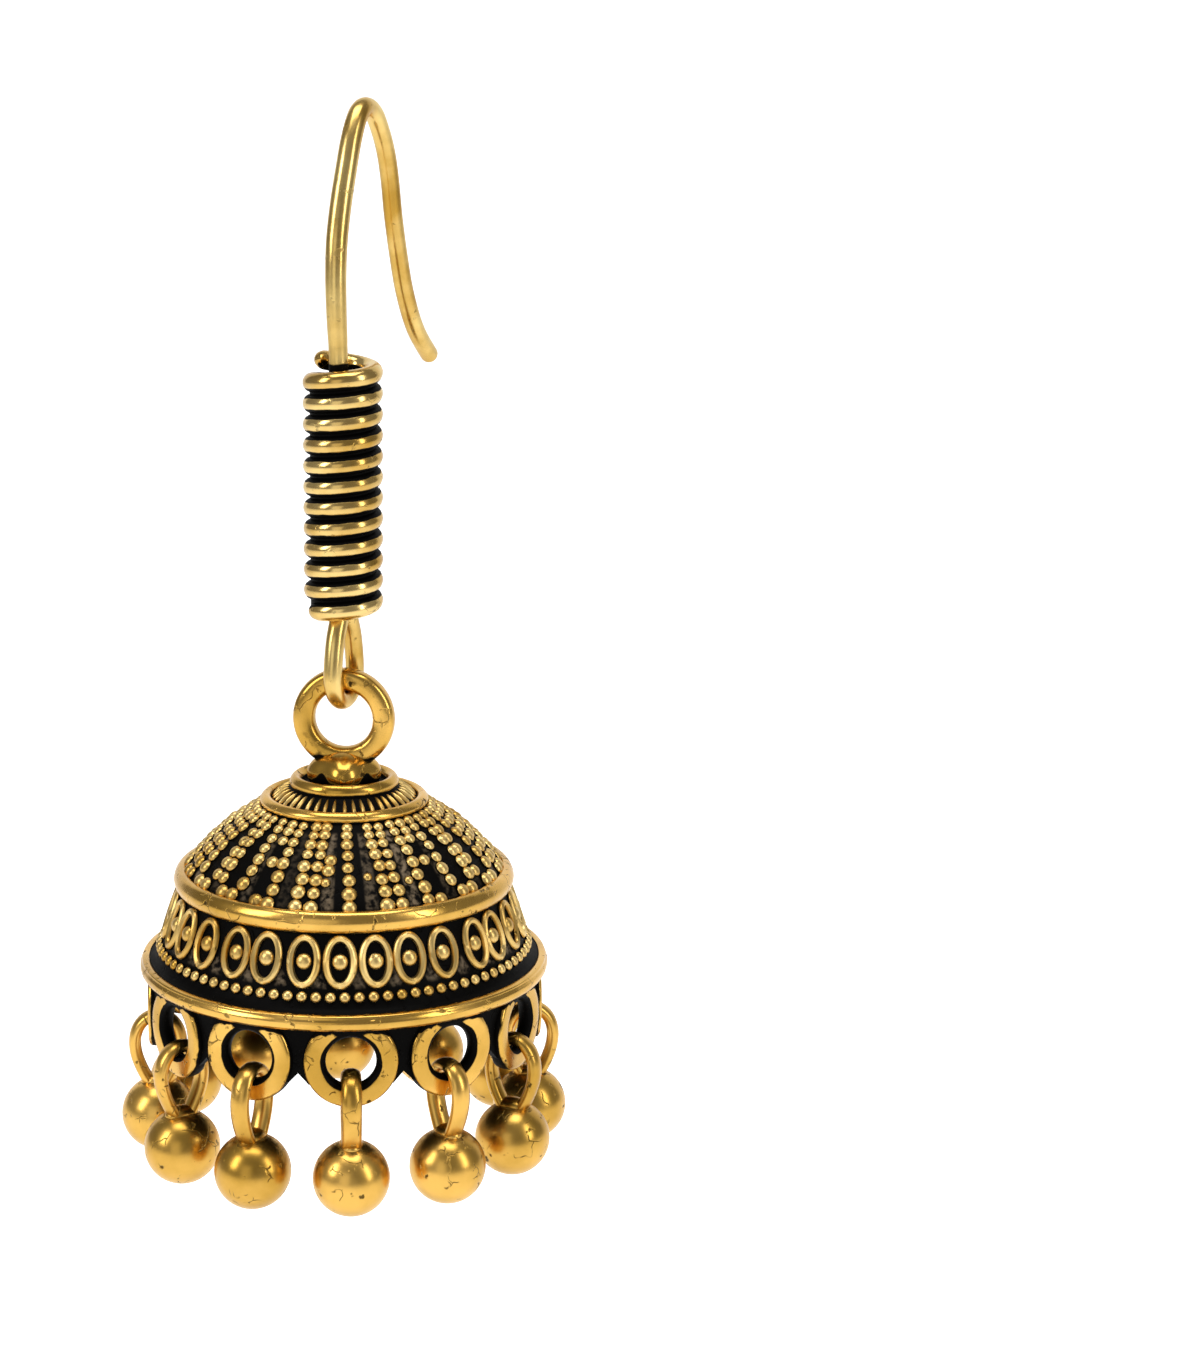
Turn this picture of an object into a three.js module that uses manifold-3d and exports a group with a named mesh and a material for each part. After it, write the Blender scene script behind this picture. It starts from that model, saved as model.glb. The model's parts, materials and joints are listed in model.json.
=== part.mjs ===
// A jhumka drop earring: a wire ear hook bound by a coil, a domed bell with cast relief
// hanging from it by a bail ring, and twelve ball drops round the bell's rim.
// Sizes are in millimetres, +Z is up, and the origin is the inner top of the hook's arch,
// where it sits in the ear. The bail ring lies in the XZ plane, so the bell swings about X.
import * as THREE from "three";
import { mergeVertices } from "three/addons/utils/BufferGeometryUtils.js";
import Module from "manifold-3d";

const wasm = await Module();
wasm.setup();

// Fits
const clearance = 0.05;

// Ear hook, one wire from the tip over the arch, down the coil and round the lower loop
const hookWire = 1.0;
const hookSides = 6;
const hookYaw = 15;
const archBack = 3.3;
const hookReach = 11.1;
const hookDrop = 14.0;
const coilTopDrop = 12.36;
const loopDrop = 4.87;
const loopSpread = 2.74;
const tailLength = 3.4;

// Coil round the stem
const coilWire = 0.97;
const coilSides = 5;
const coilTurns = 12;
const coilPitch = 1.093;
const coilStart = 190;
const stepsPerTurn = 9;
const coilEndShare = 0.35;
const coilEndRise = 0.12;

// Bell and its bail ring
const bailRadius = 2.14;
const bailBar = 1.16;
const bailFoot = 0.22;
const rimRadius = 10.95;
const bellHeight = 10.8;
const rimWall = 1.2;
const crownWall = 1.9;
const bellSegments = 30;
const castTurn = 10;

// Relief on the bell
const columnCount = 22;
const columnPhase = 1.7;
const columnRise = 0.2;
const columnBase = 0.09;
const rowGap = 4.7;
const loopGap = 10.5;
const ovalCount = 30;
const ovalPhase = -2;
const ovalWidth = 1.72;
const ovalHeight = 2.6;
const ovalLine = 0.3;
const ovalRise = 0.28;
const dotWidth = 0.72;
const beadCount = 84;
const beadWidth = 0.52;

// Eyelets under the rim
const eyeletCount = 12;
const eyeletPhase = 1.7;
const eyeletCentreDrop = 1.8;
const eyeletInset = 0.85;
const eyeletRadius = 2.44;
const eyeletHole = 1.3;
const eyeletThickness = 0.85;
const eyeletBevel = 0.27;
const webThickness = 0.42;
const webDrop = 2.9;
const webOverlap = 0.3;
const webInset = 0.25;

// Drops, each a ball soldered to its link
const ballRadius = 2.0;
const linkWire = 0.86;
const linkHalfWidth = 1.45;
const linkHalfHeight = 2.1;
const linkAboveBall = 3.47;

// Heights that follow from the sizes above
const rad = Math.PI / 180;
const boreRadius = hookWire + 1.5 * clearance;
const stemOffset = (hookWire + clearance) / 2;
const coilRadius = boreRadius + coilWire / 2;
const coilTopZ = -coilTopDrop;
const coilBottomZ = coilTopZ - coilTurns * coilPitch;
const loopBottomZ = coilBottomZ - loopDrop;
const barZ = loopBottomZ + hookWire / 2 + clearance + bailBar / 2;
const bailZ = barZ - bailRadius;
const crownZ = bailZ - bailRadius - bailBar / 2 - bailFoot;
const rimZ = crownZ - bellHeight;
const eyeletRing = rimRadius - eyeletInset;
const eyeletHalfSpacing = eyeletRing * Math.tan(Math.PI / eyeletCount);
const eyeletZ = rimZ - eyeletCentreDrop;
const linkZ = eyeletZ - eyeletHole + clearance + linkWire / 2 - linkHalfHeight;
const ballZ = linkZ - linkAboveBall;
const axisX = -archBack * Math.sin(hookYaw * rad);
const axisY = -archBack * Math.cos(hookYaw * rad);

// Hook outline from the stem over the arch to the tip.
// back is measured from the coil's axis as a share of hookReach, down as a share of hookDrop.
const hookOutline = [
  { back: -0.052, down: 0.850 },
  { back: -0.066, down: 0.735 },
  { back: -0.072, down: 0.600 },
  { back: -0.060, down: 0.480 },
  { back: -0.022, down: 0.360 },
  { back: 0.036, down: 0.236 },
  { back: 0.108, down: 0.104 },
  { back: 0.184, down: 0.022 },
  { back: 0.260, down: 0.000 },
  { back: 0.345, down: 0.022 },
  { back: 0.430, down: 0.096 },
  { back: 0.492, down: 0.180 },
  { back: 0.535, down: 0.280 },
  { back: 0.572, down: 0.410 },
  { back: 0.630, down: 0.557 },
  { back: 0.707, down: 0.711 },
  { back: 0.836, down: 0.864 },
  { back: 1.040, down: 1.000 },
];

// Outer profile of the bell: out is a share of rimRadius, down a share of bellHeight.
const bellOutline = [
  { name: "finial top", out: 0.000, down: -0.083 },
  { name: "finial shoulder", out: 0.094, down: -0.058 },
  { name: "finial girth", out: 0.146, down: 0.009 },
  { name: "finial foot", out: 0.137, down: 0.051 },
  { name: "moat", out: 0.205, down: 0.051 },
  { name: "crown ring inside", out: 0.215, down: 0.019 },
  { name: "crown ring top", out: 0.242, down: 0.009 },
  { name: "crown ring outside", out: 0.263, down: 0.037 },
  { name: "ticks start", out: 0.260, down: 0.065 },
  { name: "ticks end", out: 0.355, down: 0.130 },
  { name: "collar inside", out: 0.361, down: 0.107 },
  { name: "collar top", out: 0.385, down: 0.104 },
  { name: "collar outside", out: 0.409, down: 0.129 },
  { name: "columns start", out: 0.405, down: 0.160 },
  { name: "columns upper", out: 0.542, down: 0.255 },
  { name: "columns lower", out: 0.676, down: 0.380 },
  { name: "columns end", out: 0.772, down: 0.495 },
  { name: "shoulder inside", out: 0.776, down: 0.472 },
  { name: "shoulder top", out: 0.808, down: 0.481 },
  { name: "shoulder girth", out: 0.831, down: 0.523 },
  { name: "shoulder foot", out: 0.822, down: 0.565 },
  { name: "ovals start", out: 0.799, down: 0.583 },
  { name: "ovals end", out: 0.884, down: 0.830 },
  { name: "beads end", out: 0.925, down: 0.910 },
  { name: "rim inside", out: 0.950, down: 0.929 },
  { name: "rim top", out: 0.982, down: 0.929 },
  { name: "rim girth", out: 1.000, down: 0.960 },
  { name: "rim foot", out: 0.986, down: 1.000 },
];

// Profile of the hollow from its mouth to its top: out is a share of the mouth's radius,
// up a share of the hollow's height.
const hollowOutline = [
  { out: 1.000, up: 0.000 },
  { out: 0.948, up: 0.131 },
  { out: 0.828, up: 0.474 },
  { out: 0.760, up: 0.617 },
  { out: 0.646, up: 0.749 },
  { out: 0.510, up: 0.851 },
  { out: 0.333, up: 0.943 },
  { out: 0.000, up: 1.000 },
];

// Relief columns in this order, from the front to the back and then again to the front
const columnKinds = [
  "single", "double", "double", "loop", "loop", "double", "double", "loop", "loop", "double", "double",
];

// A curve through its points whose steps follow the points, so bends get more of them
class WirePath extends THREE.CatmullRomCurve3 {
  constructor(points) {
    super(points, false, "centripetal");
  }
  getUtoTmapping(share) {
    return share;
  }
}

// An ellipse in the XZ plane, starting and ending at its lowest point
class LinkPath extends THREE.Curve {
  getPoint(share, target = new THREE.Vector3()) {
    const angle = 2 * Math.PI * share;
    return target.set(linkHalfWidth * Math.sin(angle), 0, -linkHalfHeight * Math.cos(angle));
  }
  getUtoTmapping(share) {
    return share;
  }
}

function roundShape(radius, sides) {
  const shape = new THREE.Shape();
  for (let i = 0; i < sides; i += 1) {
    const angle = 2 * Math.PI * (i + 0.5) / sides;
    const x = radius * Math.cos(angle);
    const y = radius * Math.sin(angle);
    if (i === 0) shape.moveTo(x, y);
    else shape.lineTo(x, y);
  }
  shape.closePath();
  return shape;
}

function wireGeometry(path, diameter, sides, steps) {
  return new THREE.ExtrudeGeometry(roundShape(diameter / 2, sides), {
    steps,
    bevelEnabled: false,
    extrudePath: path,
  });
}

// Solids for joining and cutting
function toSolid(geometry) {
  const bare = geometry.clone();
  bare.deleteAttribute("normal");
  bare.deleteAttribute("uv");
  const welded = mergeVertices(bare, 1e-5);
  return new wasm.Manifold(new wasm.Mesh({
    numProp: 3,
    vertProperties: new Float32Array(welded.attributes.position.array),
    triVerts: new Uint32Array(welded.index.array),
  }));
}

function toGeometry(solid) {
  const mesh = solid.getMesh();
  const geometry = new THREE.BufferGeometry();
  geometry.setAttribute("position", new THREE.BufferAttribute(mesh.vertProperties, 3));
  geometry.setIndex(new THREE.BufferAttribute(mesh.triVerts, 1));
  geometry.computeVertexNormals();
  return geometry;
}

function joinAll(solids) {
  return solids.reduce((whole, solid) => whole.add(solid));
}

// A place on the bell's outer face between two named rows, share 0 to 1 along the profile
function seatOn(firstName, lastName, share) {
  const first = bellOutline.findIndex((row) => row.name === firstName);
  const last = bellOutline.findIndex((row) => row.name === lastName);
  const points = bellOutline.slice(first, last + 1).map(
    (row) => new THREE.Vector2(rimRadius * row.out, crownZ - bellHeight * row.down),
  );
  const lengths = points.slice(1).map((point, i) => point.distanceTo(points[i]));
  const whole = lengths.reduce((sum, length) => sum + length, 0);
  let left = share * whole;
  let span = 0;
  while (span < lengths.length - 1 && left > lengths[span]) {
    left -= lengths[span];
    span += 1;
  }
  const along = points[span + 1].clone().sub(points[span]).normalize();
  const point = points[span].clone().addScaledVector(along, left);
  return { radius: point.x, height: point.y, outward: -along.y, upward: along.x, whole };
}

// Puts a shape on the bell: its Z becomes the face's normal and its Y runs up the face
function placeOn(geometry, seat, degrees) {
  const angle = (degrees + castTurn) * rad;
  const radial = new THREE.Vector3(Math.sin(angle), -Math.cos(angle), 0);
  const tangent = new THREE.Vector3(Math.cos(angle), Math.sin(angle), 0);
  const normal = radial.clone().multiplyScalar(seat.outward).setZ(seat.upward);
  const upFace = normal.clone().cross(tangent);
  const matrix = new THREE.Matrix4().makeBasis(tangent, upFace, normal);
  const flat = Math.cos(Math.PI / bellSegments);
  matrix.setPosition(radial.x * seat.radius * flat, radial.y * seat.radius * flat, seat.height);
  return geometry.applyMatrix4(matrix);
}

function lowDot(width, rise, sides) {
  const sink = 0.12;
  const dot = new THREE.ConeGeometry(width / 2, rise + sink, sides);
  dot.rotateX(Math.PI / 2);
  dot.translate(0, 0, (rise - sink) / 2);
  return dot;
}

// An oval line, a ridge whose two feet lie under the face
function ovalRing(width, height, line) {
  const sink = 0.2;
  const inner = 1 - 2 * line / width;
  const ridge = [
    new THREE.Vector2(inner - 0.08, -sink),
    new THREE.Vector2(1.04, -sink),
    new THREE.Vector2((1 + inner) / 2, ovalRise),
    new THREE.Vector2(inner - 0.08, -sink),
  ];
  const ring = new THREE.LatheGeometry(ridge, 8);
  ring.rotateX(Math.PI / 2);
  ring.rotateZ(Math.PI / 8);
  ring.scale(width / 2, height / 2, 1);
  return ring;
}

// A closed ring whose section changes with its angle; sectionAt gives points [out, height]
function ringOf(angles, sectionAt) {
  const corners = [];
  const faces = [];
  const sections = angles.map(sectionAt);
  const size = sections[0].length;
  sections.forEach((section, i) => {
    const angle = (angles[i] + castTurn) * rad;
    const next = (i + 1) % angles.length;
    section.forEach(([out, height], j) => {
      corners.push(new THREE.Vector3(out * Math.sin(angle), -out * Math.cos(angle), height));
      const up = (j + 1) % size;
      faces.push(i * size + j, next * size + j, next * size + up);
      faces.push(i * size + j, next * size + up, i * size + up);
    });
  });
  const geometry = new THREE.BufferGeometry().setFromPoints(corners);
  geometry.setIndex(faces);
  return geometry;
}

// The ear hook
function hookPoint(back, z) {
  const yaw = hookYaw * rad;
  return new THREE.Vector3(axisX + back * Math.sin(yaw), axisY + back * Math.cos(yaw), z);
}

function earHook() {
  const points = [];
  const half = loopSpread / 2;
  points.push(hookPoint(stemOffset, coilBottomZ + tailLength));
  points.push(hookPoint(stemOffset, coilBottomZ + 0.9));
  points.push(hookPoint(stemOffset, coilBottomZ - 0.2));
  points.push(hookPoint(0.78 * half, coilBottomZ - 0.32 * loopDrop));
  const swings = 8;
  for (let i = 0; i <= swings; i += 1) {
    const angle = Math.PI * i / swings;
    const back = half * Math.cos(angle);
    points.push(hookPoint(back, loopBottomZ + half - 1.08 * half * Math.sin(angle) + 0.08 * half));
  }
  points.push(hookPoint(-0.78 * half, coilBottomZ - 0.32 * loopDrop));
  points.push(hookPoint(-stemOffset, coilBottomZ - 0.2));
  points.push(hookPoint(-stemOffset, coilBottomZ + 0.9));
  points.push(hookPoint(-stemOffset, coilTopZ - 0.9));
  points.push(hookPoint(-stemOffset, coilTopZ + 0.1));
  for (const row of hookOutline) {
    points.push(hookPoint(row.back * hookReach, hookWire / 2 - row.down * hookDrop));
  }
  return wireGeometry(new WirePath(points), hookWire, hookSides, 2 * (points.length - 1));
}

// The coil, whose top end curls inwards and lifts beside the stem
function wireCoil() {
  const steps = coilTurns * stepsPerTurn;
  const points = [];
  for (let i = 0; i <= steps; i += 1) {
    const turn = coilTurns * i / steps;
    const angle = (coilStart + 360 * turn) * rad;
    const curl = Math.max(0, (turn - coilTurns + coilEndShare) / coilEndShare);
    const ease = curl * curl * (3 - 2 * curl);
    const radius = coilRadius - ease * 0.42 * coilWire;
    const z = coilBottomZ + coilPitch * turn + ease * coilEndRise * coilPitch;
    points.push(new THREE.Vector3(axisX + radius * Math.cos(angle), axisY + radius * Math.sin(angle), z));
  }
  return wireGeometry(new WirePath(points), coilWire, coilSides, steps);
}

// The bell's plain shell, straight where the columns' band covers it
function bellShell() {
  const covered = ["columns upper", "columns lower"];
  const outside = bellOutline.filter((row) => !covered.includes(row.name)).map(
    (row) => new THREE.Vector2(rimRadius * row.out, crownZ - bellHeight * row.down),
  );
  const mouth = rimRadius - rimWall;
  const hollow = bellHeight - crownWall;
  const inside = hollowOutline.map(
    (row) => new THREE.Vector2(mouth * row.out, rimZ + hollow * row.up),
  );
  const profile = [...outside, ...inside].reverse();
  const shell = new THREE.LatheGeometry(profile, bellSegments);
  shell.rotateX(Math.PI / 2);
  shell.rotateZ((castTurn + ovalPhase + 180 / bellSegments) * rad);
  return toSolid(shell);
}

function bailRing() {
  const ring = new THREE.TorusGeometry(bailRadius, bailBar / 2, 8, 14);
  ring.rotateX(Math.PI / 2);
  ring.translate(0, 0, bailZ);
  return toSolid(ring);
}

function eyelet(index) {
  const front = eyeletThickness / 2;
  const mouth = eyeletHole + eyeletBevel;
  const section = [
    new THREE.Vector2(eyeletHole, 0),
    new THREE.Vector2(mouth, -front),
    new THREE.Vector2(eyeletRadius, -front),
    new THREE.Vector2(eyeletRadius, front),
    new THREE.Vector2(mouth, front),
    new THREE.Vector2(eyeletHole, 0),
  ];
  const plate = new THREE.LatheGeometry(section, 12);
  plate.rotateY(Math.PI / 12);
  plate.translate(0, -eyeletRing, eyeletZ);
  plate.rotateZ((castTurn + eyeletPhase + 360 * index / eyeletCount) * rad);
  return toSolid(plate);
}

// The thin web that fills the notch between two eyelets, widest under the rim
function eyeletWeb(index) {
  const top = 0.3;
  const chordAtRim = Math.sqrt(eyeletRadius ** 2 - eyeletCentreDrop ** 2);
  const wide = eyeletHalfSpacing - chordAtRim + webOverlap;
  const narrow = eyeletHalfSpacing - eyeletRadius + webOverlap;
  const outline = new THREE.Shape();
  outline.moveTo(-wide, rimZ + top);
  outline.lineTo(-narrow, eyeletZ);
  outline.lineTo(-narrow, rimZ - webDrop);
  outline.lineTo(narrow, rimZ - webDrop);
  outline.lineTo(narrow, eyeletZ);
  outline.lineTo(wide, rimZ + top);
  outline.closePath();
  const web = new THREE.ExtrudeGeometry(outline, { depth: webThickness, bevelEnabled: false });
  web.translate(0, 0, -webThickness / 2);
  web.rotateX(Math.PI / 2);
  web.translate(0, -eyeletRing / Math.cos(Math.PI / eyeletCount) + webInset, 0);
  web.rotateZ((castTurn + eyeletPhase + 360 * (index + 0.5) / eyeletCount) * rad);
  return toSolid(web);
}

// Ridges that carry the granule rows, as one band whose lift changes from angle to angle
function columnBand() {
  const seats = [0.05, 0.331, 0.699, 0.95].map((share) => seatOn("columns start", "columns end", share));
  const turns = {
    single: [[-1.9, 0], [0, 1], [1.9, 0]],
    double: [[-rowGap / 2, 1], [0, 0], [rowGap / 2, 1]],
    loop: [[-loopGap / 2, 1], [0, 0], [loopGap / 2, 1]],
  };
  const spots = [];
  for (let i = 0; i < columnCount; i += 1) {
    const centre = columnPhase + 360 * i / columnCount;
    spots.push([centre - 180 / columnCount, 0]);
    for (const [turn, lift] of turns[columnKinds[i % columnKinds.length]]) spots.push([centre + turn, lift]);
  }
  const lifts = new Map(spots);
  return ringOf(spots.map(([angle]) => angle), (angle) => {
    const outer = seats.map((seat, i) => {
      const rise = columnBase + columnRise * lifts.get(angle) * (i % 3 === 0 ? 0.2 : 1);
      return [seat.radius + rise * seat.outward, seat.height + rise * seat.upward];
    });
    const inner = [seats[0], seats[3]].map((seat) => [seat.radius - 0.25 * seat.outward, seat.height - 0.25 * seat.upward]);
    return [...outer.reverse(), ...inner];
  });
}

function ovalRelief() {
  const seat = seatOn("ovals start", "ovals end", 0.5);
  const solids = [];
  for (let i = 0; i < ovalCount; i += 1) {
    const degrees = ovalPhase + 360 * i / ovalCount;
    solids.push(toSolid(placeOn(ovalRing(ovalWidth, ovalHeight, ovalLine), seat, degrees)));
    solids.push(toSolid(placeOn(lowDot(dotWidth, 0.34, 4), seat, degrees)));
  }
  return solids;
}

function beadRelief() {
  const seat = seatOn("ovals end", "beads end", 0.4);
  const solids = [];
  for (let i = 0; i < beadCount; i += 1) {
    solids.push(toSolid(placeOn(lowDot(beadWidth, 0.24, 4), seat, 360 * i / beadCount)));
  }
  return solids;
}

function bell() {
  const eyelets = [];
  for (let i = 0; i < eyeletCount; i += 1) {
    eyelets.push(eyelet(i));
    eyelets.push(eyeletWeb(i));
  }
  const solid = joinAll([
    bellShell(),
    bailRing(),
    ...eyelets,
    toSolid(columnBand()),
    ...ovalRelief(),
    ...beadRelief(),
  ]);
  return toGeometry(solid);
}

// One drop: a ball with its oval link soldered in at the top, hanging in its eyelet
function dropGeometry(index) {
  const ball = new THREE.SphereGeometry(ballRadius, 12, 6);
  ball.rotateX(Math.PI / 2);
  ball.translate(0, 0, ballZ);
  const link = wireGeometry(new LinkPath(), linkWire, 5, 10);
  link.translate(0, 0, linkZ);
  const solid = toSolid(ball).add(toSolid(link));
  const geometry = toGeometry(solid);
  geometry.rotateZ(-Math.PI / 2);
  geometry.translate(0, -eyeletRing, 0);
  geometry.rotateZ((castTurn + eyeletPhase + 360 * index / eyeletCount) * rad);
  return geometry;
}

const wireGold = new THREE.MeshStandardMaterial({ color: 0xb8923f, roughness: 0.3, metalness: 1 });
const coilGold = new THREE.MeshStandardMaterial({ color: 0xa98338, roughness: 0.35, metalness: 1 });
const castGold = new THREE.MeshStandardMaterial({ color: 0x8f6c2a, roughness: 0.45, metalness: 1 });
const ballGold = new THREE.MeshStandardMaterial({ color: 0xb48a35, roughness: 0.3, metalness: 1 });

function namedMesh(name, geometry, material) {
  const mesh = new THREE.Mesh(geometry, material.clone());
  mesh.name = name;
  return mesh;
}

const group = new THREE.Group();
group.add(namedMesh("ear_hook", earHook(), wireGold));
group.add(namedMesh("wire_coil", wireCoil(), coilGold));

const hanging = new THREE.Group();
hanging.position.set(axisX, axisY, 0);
hanging.add(namedMesh("bell", bell(), castGold));
for (let i = 0; i < eyeletCount; i += 1) {
  hanging.add(namedMesh(`drop_${String(i + 1).padStart(2, "0")}`, dropGeometry(i), ballGold));
}
group.add(hanging);
group.updateMatrixWorld(true);

export default group;
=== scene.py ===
import json
from math import copysign, cos, degrees, hypot, pi, radians, sin, sqrt, tan

import bmesh
import bpy
import numpy as np
from mathutils import Euler, Matrix, Vector


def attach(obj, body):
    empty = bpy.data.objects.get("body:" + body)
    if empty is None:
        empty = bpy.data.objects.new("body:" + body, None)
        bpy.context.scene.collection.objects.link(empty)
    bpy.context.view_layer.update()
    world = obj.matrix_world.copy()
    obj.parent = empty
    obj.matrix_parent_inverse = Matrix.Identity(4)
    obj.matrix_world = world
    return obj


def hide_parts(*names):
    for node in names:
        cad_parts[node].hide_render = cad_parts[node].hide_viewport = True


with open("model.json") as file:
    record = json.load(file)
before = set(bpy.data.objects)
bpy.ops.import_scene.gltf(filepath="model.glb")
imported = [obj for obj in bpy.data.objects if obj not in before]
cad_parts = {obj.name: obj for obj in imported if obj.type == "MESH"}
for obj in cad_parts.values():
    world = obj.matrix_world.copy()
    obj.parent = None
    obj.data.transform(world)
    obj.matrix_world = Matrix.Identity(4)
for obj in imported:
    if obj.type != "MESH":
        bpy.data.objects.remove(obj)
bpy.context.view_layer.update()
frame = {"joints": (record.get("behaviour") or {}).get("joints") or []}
mm = 0.001

# Places that the pieces share, worked out from the hinge, which is the middle of the bail ring's bar
axisX, axisY, barZ = [value / mm for value in frame["joints"][0]["pos_m"]]
castTurn = radians(10)
bailRadius = 2.14
bailFoot = 0.8
crownZ = barZ - 2 * bailRadius - bailFoot
bellHeight = 10.8
rimRadius = 10.95
rimZ = crownZ - bellHeight


# Shared helpers

def table(keys, *rows):
    # Rows of values, named by the keys
    return [dict(zip(keys.split(), row)) for row in rows]


def outOf(node, name):
    return next(socket for socket in node.outputs if socket.name == name and socket.enabled)


def intoOf(node, name):
    return next(socket for socket in node.inputs if socket.name == name and socket.enabled)


def addNode(tree, kind, **settings):
    node = tree.nodes.new(kind)
    for name, value in settings.items():
        setattr(node, name, value)
    return node


def link(tree, fromNode, fromName, toNode, toName):
    tree.links.new(outOf(fromNode, fromName), intoOf(toNode, toName))


def feed(tree, entry, value):
    # A socket is linked to the entry, anything else becomes its value
    if isinstance(value, bpy.types.NodeSocket):
        tree.links.new(value, entry)
    else:
        entry.default_value = value


def calculate(tree, operation, *values):
    node = addNode(tree, "ShaderNodeMath", operation=operation)
    for i, value in enumerate(values):
        feed(tree, node.inputs[i], value)
    return node.outputs[0]


def remap(tree, value, fromRange=(0, 1), toRange=(0, 1)):
    node = addNode(tree, "ShaderNodeMapRange")
    names = ("Value", "From Min", "From Max", "To Min", "To Max")
    for name, setting in zip(names, (value, *fromRange, *toRange)):
        feed(tree, node.inputs[name], setting)
    return node.outputs["Result"]


def blendColors(tree, factor, first, second):
    node = addNode(tree, "ShaderNodeMix", data_type="RGBA")
    for name, value in (("Factor", factor), ("A", first), ("B", second)):
        feed(tree, intoOf(node, name), value)
    return outOf(node, "Result")


def addToScene(name, data):
    thing = bpy.data.objects.new(name, data)
    bpy.context.scene.collection.objects.link(thing)
    return thing


def meshObject(name, vertices, faces, attributes=None):
    mesh = bpy.data.meshes.new(name)
    mesh.from_pydata([tuple(v) for v in np.asarray(vertices) * mm], [], faces)
    for key, values in (attributes or {}).items():
        layer = mesh.attributes.new(key, "FLOAT", "POINT")
        layer.data.foreach_set("value", np.asarray(values, dtype=np.float32))
    mesh.validate()
    return addToScene(name, mesh)


def gridFaces(rows, columns, closedRows=False, closedColumns=True):
    faces = []
    for i in range(rows if closedRows else rows - 1):
        for j in range(columns if closedColumns else columns - 1):
            a = i * columns + j
            b = i * columns + (j + 1) % columns
            c = ((i + 1) % rows) * columns + (j + 1) % columns
            d = ((i + 1) % rows) * columns + j
            faces.append((a, b, c, d))
    return faces


def smoothPath(points, perSpan):
    # Centripetal Catmull-Rom through the points, so straight runs stay straight
    points = [Vector(p) for p in points]
    points = [2 * points[0] - points[1], *points, 2 * points[-1] - points[-2]]
    path = []
    for p0, p1, p2, p3 in zip(points, points[1:], points[2:], points[3:]):
        t1 = (p1 - p0).length ** 0.5
        t2 = t1 + (p2 - p1).length ** 0.5
        t3 = t2 + (p3 - p2).length ** 0.5
        for i in range(perSpan):
            t = t1 + (t2 - t1) * i / perSpan

            def mix(a, b, start, end):
                return (end - t) / (end - start) * a + (t - start) / (end - start) * b

            a1, a2, a3 = mix(p0, p1, 0, t1), mix(p1, p2, t1, t2), mix(p2, p3, t2, t3)
            path.append(mix(mix(a1, a2, 0, t2), mix(a2, a3, t1, t3), t1, t2))
    path.append(points[-2])
    return path


def setInput(modifier, name, value):
    items = modifier.node_group.interface.items_tree
    socket = next(item for item in items if item.name == name and item.in_out == "INPUT")
    modifier[socket.identifier] = value


def grow(piece, tree, name, **values):
    # Runs a node tree on a piece and returns its result as a plain mesh object
    modifier = piece.modifiers.new("growth", "NODES")
    modifier.node_group = tree
    for key, value in values.items():
        setInput(modifier, key, value)
    graph = bpy.context.evaluated_depsgraph_get()
    mesh = bpy.data.meshes.new_from_object(piece.evaluated_get(graph))
    mesh.name = name
    piece.modifiers.clear()
    bpy.data.objects.remove(piece)
    return addToScene(name, mesh)


def startTree(name, sockets):
    tree = bpy.data.node_groups.new(name, "GeometryNodeTree")
    tree.interface.new_socket("Geometry", in_out="INPUT", socket_type="NodeSocketGeometry")
    for label, kind in sockets:
        tree.interface.new_socket(label, in_out="INPUT", socket_type=kind)
    tree.interface.new_socket("Geometry", in_out="OUTPUT", socket_type="NodeSocketGeometry")
    return tree, addNode(tree, "NodeGroupInput"), addNode(tree, "NodeGroupOutput")


def readAttribute(tree, name, kind="FLOAT"):
    node = addNode(tree, "GeometryNodeInputNamedAttribute", data_type=kind)
    node.inputs["Name"].default_value = name
    return outOf(node, "Attribute")


def placeCopies(tree, points, shape, rotation):
    node = addNode(tree, "GeometryNodeInstanceOnPoints")
    for name, value in (("Points", points), ("Instance", shape), ("Rotation", rotation)):
        tree.links.new(value, intoOf(node, name))
    return node


def finishTree(tree, start, end, last):
    # Every tree ends realized, smooth and with its metal
    realize = addNode(tree, "GeometryNodeRealizeInstances")
    smooth = addNode(tree, "GeometryNodeSetShadeSmooth")
    metal = addNode(tree, "GeometryNodeSetMaterial")
    tree.links.new(last, intoOf(realize, "Geometry"))
    link(tree, realize, "Geometry", smooth, "Geometry")
    link(tree, smooth, "Geometry", metal, "Geometry")
    link(tree, start, "Metal", metal, "Material")
    link(tree, metal, "Geometry", end, "Geometry")


# Metals

goldLook = {
    "bright": (0.84, 0.50, 0.115, 1),
    "warm": (0.55, 0.31, 0.05, 1),
    "pale": (0.88, 0.63, 0.24, 1),
    "wire": (0.97, 0.72, 0.27, 1),
    # Patina black, also used for painted shade
    "patinaAndShade": (0.002, 0.0017, 0.0014, 1),
    "dull": (0.22, 0.165, 0.105, 1),
}
wear = {
    "driftScale": 260,
    "driftDetail": 5,
    "driftRange": (0.38, 0.66),
    "pitScale": 1500,
    "pitDetail": 3,
    "pitRange": (0.665, 0.72),
    "crackScale": 800,
    "crackWidth": 0.028,
    "crackBendScale": 700,
    "crackBend": 0.0016,
    "crackPlaceScale": 850,
    "crackPlaceRange": (0.56, 0.62),
    "rippleScale": 520,
    "markDepth": -0.9,
    "blotchScale": 1100,
    "blotchDetail": 4,
    "darkRange": (0.38, 0.5),
    "gritScale": 3200,
    "gritDetail": 4,
    "gritRange": (0.40, 0.62),
    "darkRoughness": 0.5,
    "darkShine": 0.04,
    "bumpHeight": 0.00006,
}


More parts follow.
